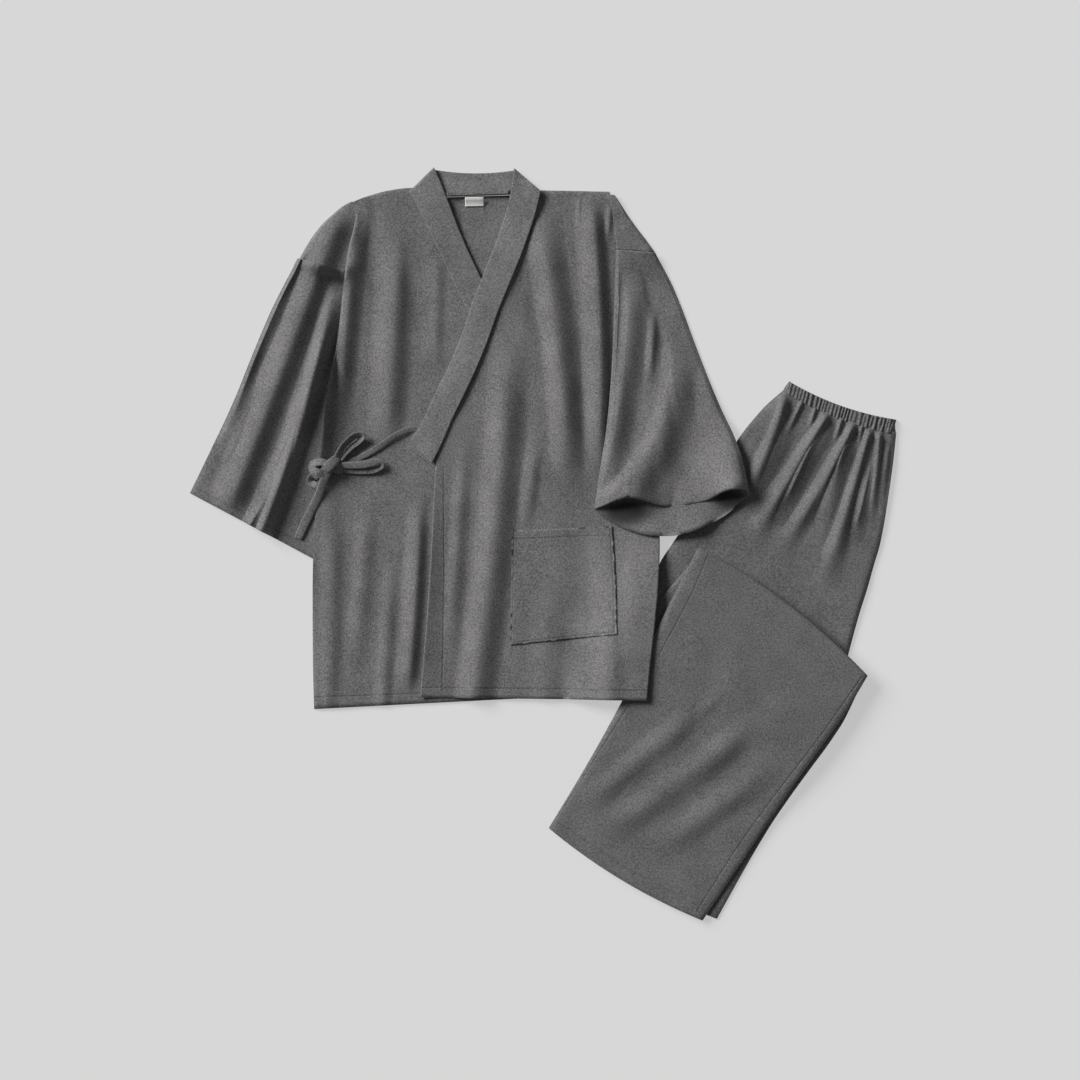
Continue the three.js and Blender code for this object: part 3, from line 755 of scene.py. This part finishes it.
# %% Middle and legs
MIDDLE_REACH = (-16, -26)
REACHING_X, STAYING_X = 180, 300  # the reach fades between these


def middle_reach(x, y):
    share = soft((STAYING_X - x) / (STAYING_X - REACHING_X))
    return MIDDLE_REACH[0] * share, MIDDLE_REACH[1] * share


middle = make_cloth("trousers_middle")
reach_out(middle, middle_reach)
keep("trousers_middle", middle)
keep("leg_far", make_cloth("leg_far"))
keep("leg_near", make_cloth("leg_near"))

# %% [markdown]
# ## The jacket
#
# It is laid down from the surface up: first the back, which hardly shows but inside the neck.

# %% Back
keep("jacket_back", make_cloth("jacket_back"))

# %% [markdown]
# The left arm lies beside the body. The drop shoulder is part of the front, and the sleeve is sewn to
# its end. Neighbours that only touch would let the pale surface show between them, so the shoulder
# reaches in under both.

# %% Left arm
SHOULDER_TUCK = 4  # how far it goes in under the front, and down under the seam of the sleeve
SHOULDER_RISE = 2.5  # how far it goes up to the shoulder's outline


def shoulder_reach(x, y):
    by_front = soft((x + 330) / 60)
    at_top = soft((y - 478) / 14)
    by_seam = soft((450 - y) / 50)
    return SHOULDER_TUCK * by_front, SHOULDER_RISE * at_top - SHOULDER_TUCK * by_seam


shoulder = make_cloth("shoulder_left")
reach_out(shoulder, shoulder_reach)
keep("shoulder_left", shoulder)
keep("sleeve_left", make_cloth("sleeve_left"))

# %% [markdown]
# The collar is one long band, sewn double. Its stretch at the back of the neck goes out under the two
# front stretches, and down over the seam of the neck. A narrow tape covers that seam inside, with a
# small white label below it.

# %% Under front and its collar
BACK_COLLAR_MIDDLE = (-102, 524)
BACK_COLLAR_HALF = 16  # of its width
BACK_COLLAR_STRETCH = 0.07  # share of its length that is added under its neighbours
OVER_NECK_SEAM = 5


def back_collar_reach(x, y):
    outward = BACK_COLLAR_STRETCH * (x - BACK_COLLAR_MIDDLE[0])
    lower_half = soft((BACK_COLLAR_MIDDLE[1] - y) / BACK_COLLAR_HALF)
    return outward, -OVER_NECK_SEAM * lower_half


keep("front_under", make_cloth("front_under"))
collar_back = make_cloth("collar_back")
reach_out(collar_back, back_collar_reach)
keep("collar_back", collar_back)
keep("collar_under", make_cloth("collar_under"))
keep("neck_tape", make_cloth("neck_tape", passes=2))
keep("label", make_cloth("label", passes=2))

# %% [markdown]
# The over front crosses the under one, and its collar runs down its slanting edge to the tie.

# %% Over front and its collar
keep("front_over", make_cloth("front_over"))
keep("collar_over", make_cloth("collar_over"))

# %% [markdown]
# A patch pocket is sewn flat to the front, so it has no folds of its own and follows those of the
# front. A ray from above finds the front under each vertex.

# %% The pocket
PATCH_GAP, PATCH_TOP = 0.5, 1.8  # how far the patch's underside and its face lie above the front
RAY_HEIGHT = 1.0  # in metres, above everything


def sewn_on(patch, under):
    """Lays a patch on every fold of the cloth that it is sewn to."""
    tree = BVHTree.FromPolygons([v.co for v in under.vertices], [p.vertices for p in under.polygons])
    coordinates = vertices_of(patch)
    for place, normal in zip(coordinates, normals_of(patch)):
        below, _, _, _ = tree.ray_cast(Vector((place[0], place[1], RAY_HEIGHT)), DOWN)
        place[2] = below.z + (PATCH_TOP if normal[2] > 0 else PATCH_GAP) * MM
    move_to(patch, coordinates)


pocket = make_cloth("pocket")
sewn_on(pocket, pieces["front_over"].data)
keep("pocket", pocket, lifted=False)

# %% [markdown]
# The right arm lies over the body. Its cuff is open towards the hem: the upper layer stands up over two
# hollows, one at each side, and beyond its curved hem the inside of the under layer shows, flat on what
# lies below.

# %% Right shoulder and the shape of the cuff
keep("shoulder_right", make_cloth("shoulder_right"))
# x y half_width half_length height
CUFF_HOLLOWS = [
    (122, 56, 52, 80, 7),
    (272, 72, 36, 70, 5),
]
# The upper layer's hem, from its left end to its right one, and the step down from it.
HEM_X = (72, 96, 121, 150, 195, 240, 270, 297)
HEM_Y = (50, 62, 71, 64, 62, 74, 81, 72)
HEM_STEP_END, HEM_STEP = 5, 4  # millimetres beyond the hem where the step ends, and its length


def cuff_hollows(x, y):
    """The upper layer stands up over the two hollows at the open cuff."""
    total = np.zeros_like(x)
    for at_x, at_y, half_width, half_length, height in CUFF_HOLLOWS:
        total += height * soft(1 - np.hypot((x - at_x) / half_width, (y - at_y) / half_length))
    return total


def above_hem(x, y):
    """0 beyond the upper layer's hem, where the under layer shows, and 1 from the hem inwards."""
    return soft((y - np.interp(x, HEM_X, HEM_Y) + HEM_STEP_END) / HEM_STEP)


# %% [markdown]
# Little light reaches into the two hollows, so shade is painted there. The inner side of the cuff gets a
# number, `inside`, which the finish turns darker, most of all deep in each hollow.

# %% Painted shade inside the cuff and the sleeve
# x y half_width half_length
PAINTED_SHADE_HOLLOWS = [
    (118, 46, 52, 28),
    (268, 64, 36, 24),
]
DARK_SLOPE = 1.5  # the darkness is full over the inner third of a hollow


def paint_cuff_shade(mesh):
    """Marks where shade is painted on the inner side of the sleeve's cloth, most of all in the hollows of
    the cuff.
    """
    x, y = plan(vertices_of(mesh))
    under = (numbers_of(mesh, "lift") < 0.5) | (above_hem(x, y) < 0.5)
    inner = (normals_of(mesh)[:, 2] > 0) & under
    depth = np.zeros_like(x)
    for at_x, at_y, half_width, half_length in PAINTED_SHADE_HOLLOWS:
        away = np.hypot((x - at_x) / half_width, (y - at_y) / half_length)
        depth = np.maximum(depth, soft(DARK_SLOPE - DARK_SLOPE * away))
    mesh.attributes.new("inside", "FLOAT", "POINT").data.foreach_set("value", depth * inner)


sleeve = make_cloth("sleeve_right", extra=cuff_hollows, share=above_hem)
paint_cuff_shade(sleeve)
keep("sleeve_right", sleeve)

# %% [markdown]
# ## The tie
#
# The tie is a strap of the same cloth, sewn flat. A flat outline swept along a curve gives it, because
# a curve can turn on itself, stand on edge in the loops of the bow, and narrow where the knot pulls it
# in.

# %% The strap's outline
TIE_WIDTH, TIE_DEPTH = 12.0, 3.0
OUTLINE_POINTS = 16
SQUARENESS = 0.6  # 1 gives an ellipse, and less gives fuller sides

outline_curve = bpy.data.curves.new("tie_outline", "CURVE")
outline_spline = outline_curve.splines.new("POLY")
outline_spline.points.add(OUTLINE_POINTS - 1)
outline_spline.use_cyclic_u = True
for i, point in enumerate(outline_spline.points):
    turn = 2 * math.pi * i / OUTLINE_POINTS
    depth = math.copysign(abs(math.sin(turn)) ** SQUARENESS, math.sin(turn))
    point.co = (TIE_WIDTH / 2 * math.cos(turn) * MM, TIE_DEPTH / 2 * depth * MM, 0, 1)
outline = bpy.data.objects.new("tie_outline", outline_curve)
bpy.context.scene.collection.objects.link(outline)


# %% [markdown]
# The curve passes through every place of its route, at a height above the cloth that lies there, and is
# turned about its own line from place to place.

# %% A strap along its routes
CURVE_STEPS = 6  # between two places of a route


def swept_strap(name, routes, ground):
    """A mesh of the strap along one or more routes, and its length in metres."""
    curve = bpy.data.curves.new(name, "CURVE")
    curve.dimensions = "3D"
    curve.twist_mode = "Z_UP"
    curve.resolution_u = CURVE_STEPS
    curve.bevel_mode = "OBJECT"
    curve.bevel_object = outline
    curve.use_fill_caps = True
    length = 0
    for route in routes:
        spline = curve.splines.new("BEZIER")
        spline.bezier_points.add(len(route) - 1)
        for point, (x, y, above, turn, share) in zip(spline.bezier_points, route):
            place = in_frame(x, y)
            height = Bed.sampled(ground, bed.cells(np.array([place])))[0]
            point.co = in_frame(x, y, height + above)
            point.handle_left_type = point.handle_right_type = "AUTO"
            point.tilt = math.radians(turn)
            point.radius = share
        places = [point.co for point in spline.bezier_points]
        length += sum((b - a).length for a, b in zip(places, places[1:]))
    carrier = bpy.data.objects.new(name, curve)
    bpy.context.scene.collection.objects.link(carrier)
    strap = bpy.data.meshes.new_from_object(carrier.evaluated_get(bpy.context.evaluated_depsgraph_get()))
    bpy.data.objects.remove(carrier)
    tidy = bmesh.new()
    tidy.from_mesh(strap)
    bmesh.ops.remove_doubles(tidy, verts=tidy.verts, dist=SAME_PLACE)
    bmesh.ops.recalc_face_normals(tidy, faces=tidy.faces)
    tidy.to_mesh(strap)
    tidy.free()
    strap.name = name
    return strap, length


# %% [markdown]
# Each row of a route is a place in the plan, the height above the cloth below, the turn about the
# strap's own line in degrees, and the share of the full width. The strap comes from the end of the over
# collar and is knotted with the tie at the body's side. The knot is two short wraps that cross each
# other.

# %% The routes
# x y above turn share
TIE_ROUTES = {
    "tie_strap": [
        [
            (-184, 166, -4.5, 0, 0.8),
            (-193, 166, 0, -5, 0.8),
            (-204, 163, 2.5, -10, 0.75),
            (-220, 154, 2.5, -20, 0.8),
            (-236, 143, 2.5, -15, 0.85),
            (-254, 132, 2, -5, 0.8),
            (-279, 120, 2, 0, 0.7),
            (-303, 114, 4, 0, 0.6),
        ]
    ],
    "side_tie": [
        [
            (-306, 112, 4, 20, 0.8),
            (-317, 117, 6, 30, 1.0),
            (-329, 118, 7, 35, 1.1),
            (-336, 111, 6, 30, 1.1),
            (-329, 104, 6, 25, 1.0),
            (-318, 104, 5, 20, 0.9),
        ],
        [
            (-314, 106, 4, 10, 0.9),
            (-326, 100, 6, -25, 1.0),
            (-337, 97, 5, -35, 1.0),
            (-339, 90, 3, -20, 0.9),
            (-331, 85, 3, 0, 0.8),
            (-325, 80, 2, 10, 0.7),
        ],
    ],
    "tie_tail": [
        [
            (-309, 112, 7, 0, 0.8),
            (-314, 103, 6, -10, 1.0),
            (-319, 92, 4.5, -15, 1.1),
            (-325, 75, 3, -15, 1.05),
            (-334, 56, 2.5, -10, 1.05),
            (-346, 32, 2.5, -5, 1.1),
            (-353, 17, 2.5, 0, 1.05),
            (-357, 8, 2, 0, 0.95),
        ]
    ],
    "loop_up": [
        [
            (-303, 119, 7, 30, 0.7),
            (-296, 134, 8, 40, 0.95),
            (-285, 148, 9, 45, 1.1),
            (-270, 158, 9, 45, 1.0),
            (-263, 156, 8, 45, 0.9),
            (-267, 150, 6, 40, 0.9),
            (-279, 141, 5, 35, 0.9),
            (-290, 130, 5, 30, 0.8),
            (-299, 118, 5, 30, 0.7),
        ]
    ],
    "loop_right": [
        [
            (-299, 114, 8, 10, 0.6),
            (-284, 114, 9, 5, 0.85),
            (-262, 115, 9, 0, 0.95),
            (-243, 118, 8, 0, 0.95),
            (-236, 115, 6, 20, 0.85),
            (-242, 109, 4, 20, 0.85),
            (-262, 106, 3.5, 10, 0.85),
            (-283, 107, 4, 10, 0.8),
            (-299, 110, 5, 10, 0.6),
        ]
    ],
    "knot": [
        [
            (-318, 104, 4, 0, 0.9),
            (-315, 109, 10, 0, 1.2),
            (-308, 116, 13, 0, 1.25),
            (-302, 122, 10, 0, 1.15),
            (-299, 126, 4, 0, 0.9),
        ],
        [
            (-322, 114, 4, 0, 0.8),
            (-314, 113, 8, 0, 1.1),
            (-305, 111, 9, 0, 1.2),
            (-296, 108, 7, 0, 1.1),
            (-292, 107, 3, 0, 0.9),
        ],
    ],
}

# %% The bow
GROUND_BLURS = 3  # a strap bridges the small folds below it
ground = Bed.blurred(bed.tops, GROUND_BLURS)
for node, routes in TIE_ROUTES.items():
    strap, length = swept_strap(node + "_cloth", routes, ground)
    keep(node, strap, lifted=False)
    print(f"{node}: {length / MM:.0f} mm of strap")
bpy.data.objects.remove(outline)


# %% [markdown]
# ## Finishes
#
# The finishes are worked out from places and from the numbers stored in the meshes. Their sums read
# best as plain expressions, so a small class stands for a socket and adds a Math node for each
# operator.

# %% Shader maths as expressions
class Number:
    """A socket that holds a number, on which the usual operators add Math nodes."""

    def __init__(self, shades, socket):
        self.shades, self.socket = shades, socket

    def _with(self, operation, a, b, **settings):
        made = self.shades.node("Math", {0: a, 1: b}, operation=operation, **settings)
        return Number(self.shades, made.outputs[0])

    def __add__(self, other):
        return self._with("ADD", self, other)

    def __sub__(self, other):
        return self._with("SUBTRACT", self, other)

    def __rsub__(self, other):
        return self._with("SUBTRACT", other, self)

    def __mul__(self, other):
        return self._with("MULTIPLY", self, other)

    def __abs__(self):
        return self._with("ABSOLUTE", self, 0)

    def within(self):
        """The number, held between 0 and 1."""
        return self._with("ADD", self, 0, use_clamp=True)

    __radd__, __rmul__ = __add__, __mul__


class Shades:
    """One material and its nodes."""

    def __init__(self, name):
        self.material = bpy.data.materials.new(name)
        self.material.use_nodes = True
        self.tree = self.material.node_tree
        self.tree.nodes.clear()

    def node(self, kind, inputs, **settings):
        """Adds a node: its settings come first, then the values or links of its sockets."""
        made = self.tree.nodes.new("ShaderNode" + kind)
        for key, value in settings.items():
            setattr(made, key, value)
        for key, value in inputs.items():
            if isinstance(value, Number):
                value = value.socket
            if isinstance(value, bpy.types.NodeSocket):
                self.tree.links.new(value, made.inputs[key])
            else:
                made.inputs[key].default_value = value
        return made

    def noise(self, place, scale, detail=2.0, roughness=0.5):
        """Noise from 0 to 1 with about `scale` grains a metre."""
        inputs = {"Vector": place, "Scale": scale, "Detail": detail, "Roughness": roughness}
        made = self.node("TexNoise", inputs)
        return Number(self, made.outputs["Fac"])


# %% [markdown]
# A groove is deepest on its line and level again a little way from it.

# %% Grooves of stitching
GROOVE = 2.0  # millimetres from the middle of a line of stitching to where the cloth is level again


def stitching(shades):
    """1 along every line of stitching that the piece carries, 0 away from it."""
    total = 0
    for channel in range(CHANNELS):
        mark = shades.node("Attribute", {}, attribute_name=f"stitching_{channel}")
        parts = shades.node("SeparateXYZ", {0: mark.outputs["Vector"]})
        aside, reach = Number(shades, parts.outputs[0]), Number(shades, parts.outputs[1])
        total = (1 - abs(aside) * (1 / GROOVE)).within() * reach + total
    return total.within()


# %% [markdown]
# The knit is heather: dark and pale fibres are spun together, so that its colour breaks up into small
# grains, in slow cloudy patches. Brushing leaves a matt nap with a faint sheen. The grains raise the surface
# a little and the stitching lowers it, and painted shade darkens the stitching's groove a little.

# %% Brushed heather knit
GRAINS, FLECKS, CLOUDS = 380, 800, 22  # a metre
# painted shade along the groove of a line of stitching
STITCH_GROOVE_SHADE = 0.16
STITCHED_DEEPER = 1.7
# painted shade: deep in the cuff's hollows the colour goes down to this share of the dark fibres' brightness
PAINTED_SHADE_BRIGHTNESS = 0.35  # how bright the darkest inside is, beside the knit's dark fibres


def heather(name, dark, light):
    """A knit of dark and light fibres, with painted shade where a mesh marks its `inside`."""
    shades = Shades(name)
    place = shades.node("TexCoord", {}).outputs["Object"]
    grain = shades.noise(place, GRAINS, 3, 0.6)
    fleck = shades.noise(place, FLECKS, 1)
    cloud = shades.noise(place, CLOUDS, 2)
    groove = stitching(shades)
    mix = 0.5 + (grain - 0.5) * 1.9 + (fleck - 0.5) * 2.0 + (cloud - 0.5) * 0.6 - groove * STITCH_GROOVE_SHADE
    face = shades.node("Mix", {0: mix, 6: (*dark, 1), 7: (*light, 1)}, data_type="RGBA", clamp_factor=True)
    # painted shade inside the cuff, darkest deep in its two hollows
    inside = shades.node("Attribute", {}, attribute_name="inside").outputs["Fac"]
    painted_shade_colour = tuple(PAINTED_SHADE_BRIGHTNESS * value for value in dark)
    shade = shades.node("Mix", {0: inside, 6: face.outputs[2], 7: (*painted_shade_colour, 1)}, data_type="RGBA")
    height = grain * 0.8 + fleck * 0.4 - groove * STITCHED_DEEPER
    nap = shades.node("Bump", {"Height": height, "Distance": 0.0006, "Strength": 0.5})
    surface = shades.node(
        "BsdfPrincipled",
        {
            "Base Color": shade.outputs[2],
            "Roughness": 0.95,
            "Normal": nap.outputs[0],
            "Specular IOR Level": 0.2,
            "Sheen Weight": 0.25,
            "Sheen Roughness": 0.5,
        },
    )
    shades.node("OutputMaterial", {"Surface": surface.outputs[0]})
    return shades.material


# %% Woven tape
THREADS = 2600  # a metre


def woven_white(name):
    """A plain white tape with a fine weave."""
    shades = Shades(name)
    place = shades.node("TexCoord", {}).outputs["Object"]
    weave = shades.noise(place, THREADS, 1)
    nap = shades.node("Bump", {"Height": weave, "Distance": 0.0002, "Strength": 0.5})
    surface = shades.node(
        "BsdfPrincipled", {"Base Color": (0.95, 0.95, 0.93, 1), "Roughness": 0.6, "Normal": nap.outputs[0]}
    )
    shades.node("OutputMaterial", {"Surface": surface.outputs[0]})
    return shades.material


# %% Each piece gets its finish
finishes = {
    "jacket_knit": heather("jacket_knit", (0.075, 0.072, 0.073), (0.222, 0.216, 0.220)),
    "collar_knit": heather("collar_knit", (0.080, 0.078, 0.080), (0.235, 0.230, 0.236)),
    "trouser_knit": heather("trouser_knit", (0.068, 0.066, 0.066), (0.190, 0.185, 0.187)),
    "white_tape": woven_white("white_tape"),
}
for node, piece in pieces.items():
    piece.data.materials.clear()
    piece.data.materials.append(finishes[slot_of[node]])
print(len(finishes), "finishes on", len(pieces), "pieces")

# %% [markdown]
# ## Surface, light and camera
#
# The surface is plain and pale, and glows a little, so that it stays even right up to its far edges.

# %% Floor
FLOOR_GAP = 0.3 * MM  # the surface lies this far below the cloth
FLOOR_HALF = 6  # of its side, in metres
floor_mesh = bpy.data.meshes.new("stage_floor")
floor_shape = bmesh.new()
bmesh.ops.create_grid(floor_shape, x_segments=1, y_segments=1, size=FLOOR_HALF)
bmesh.ops.translate(floor_shape, verts=floor_shape.verts, vec=(0, 0, -FLOOR_GAP))
floor_shape.to_mesh(floor_mesh)
floor_shape.free()
floor = bpy.data.objects.new("stage_floor", floor_mesh)
bpy.context.scene.collection.objects.link(floor)
plain = Shades("plain_floor")
paint = plain.node(
    "BsdfPrincipled",
    {
        "Base Color": (0.22, 0.22, 0.22, 1),
        "Roughness": 1.0,
        "Specular IOR Level": 0.0,
        "Emission Color": (1, 1, 1, 1),
        "Emission Strength": 0.49,
    },
)
plain.node("OutputMaterial", {"Surface": paint.outputs[0]})
floor_mesh.materials.append(plain.material)

# %% [markdown]
# One lamp, far away and broad, shows every fold from the upper left, with soft edges to its shadows. A
# dim even light from all round keeps the shadows open.

# %% Light
world = bpy.data.worlds.new("soft_room")
bpy.context.scene.world = world
world.use_nodes = True
background = world.node_tree.nodes["Background"]
background.inputs["Color"].default_value = (1, 1, 1, 1)
background.inputs["Strength"].default_value = 0.15

SUN_FROM = (-0.75, 0.50, 0.50)
sun = bpy.data.lights.new("window_light", "SUN")
sun.energy = 4.6
sun.angle = math.radians(28)
window = bpy.data.objects.new("window_light", sun)
window.rotation_euler = (-Vector(SUN_FROM)).to_track_quat("-Z", "Y").to_euler()
bpy.context.scene.collection.objects.link(window)

# %% [markdown]
# The camera is high above the middle of the set and looks straight down, so that the set shows almost
# as in its plan.

# %% Camera
VIEW_SIDE = 1.566  # of the surface, in metres
CAMERA_HEIGHT = 6.0
SENSOR = 36
lens = bpy.data.cameras.new("overhead")
lens.sensor_width = SENSOR
lens.lens = SENSOR * CAMERA_HEIGHT / VIEW_SIDE
camera = bpy.data.objects.new("overhead", lens)
camera.location = in_frame(-6.5, 5.8, CAMERA_HEIGHT / MM)
bpy.context.scene.collection.objects.link(camera)
bpy.context.scene.camera = camera
bpy.context.scene.view_settings.view_transform = "Standard"
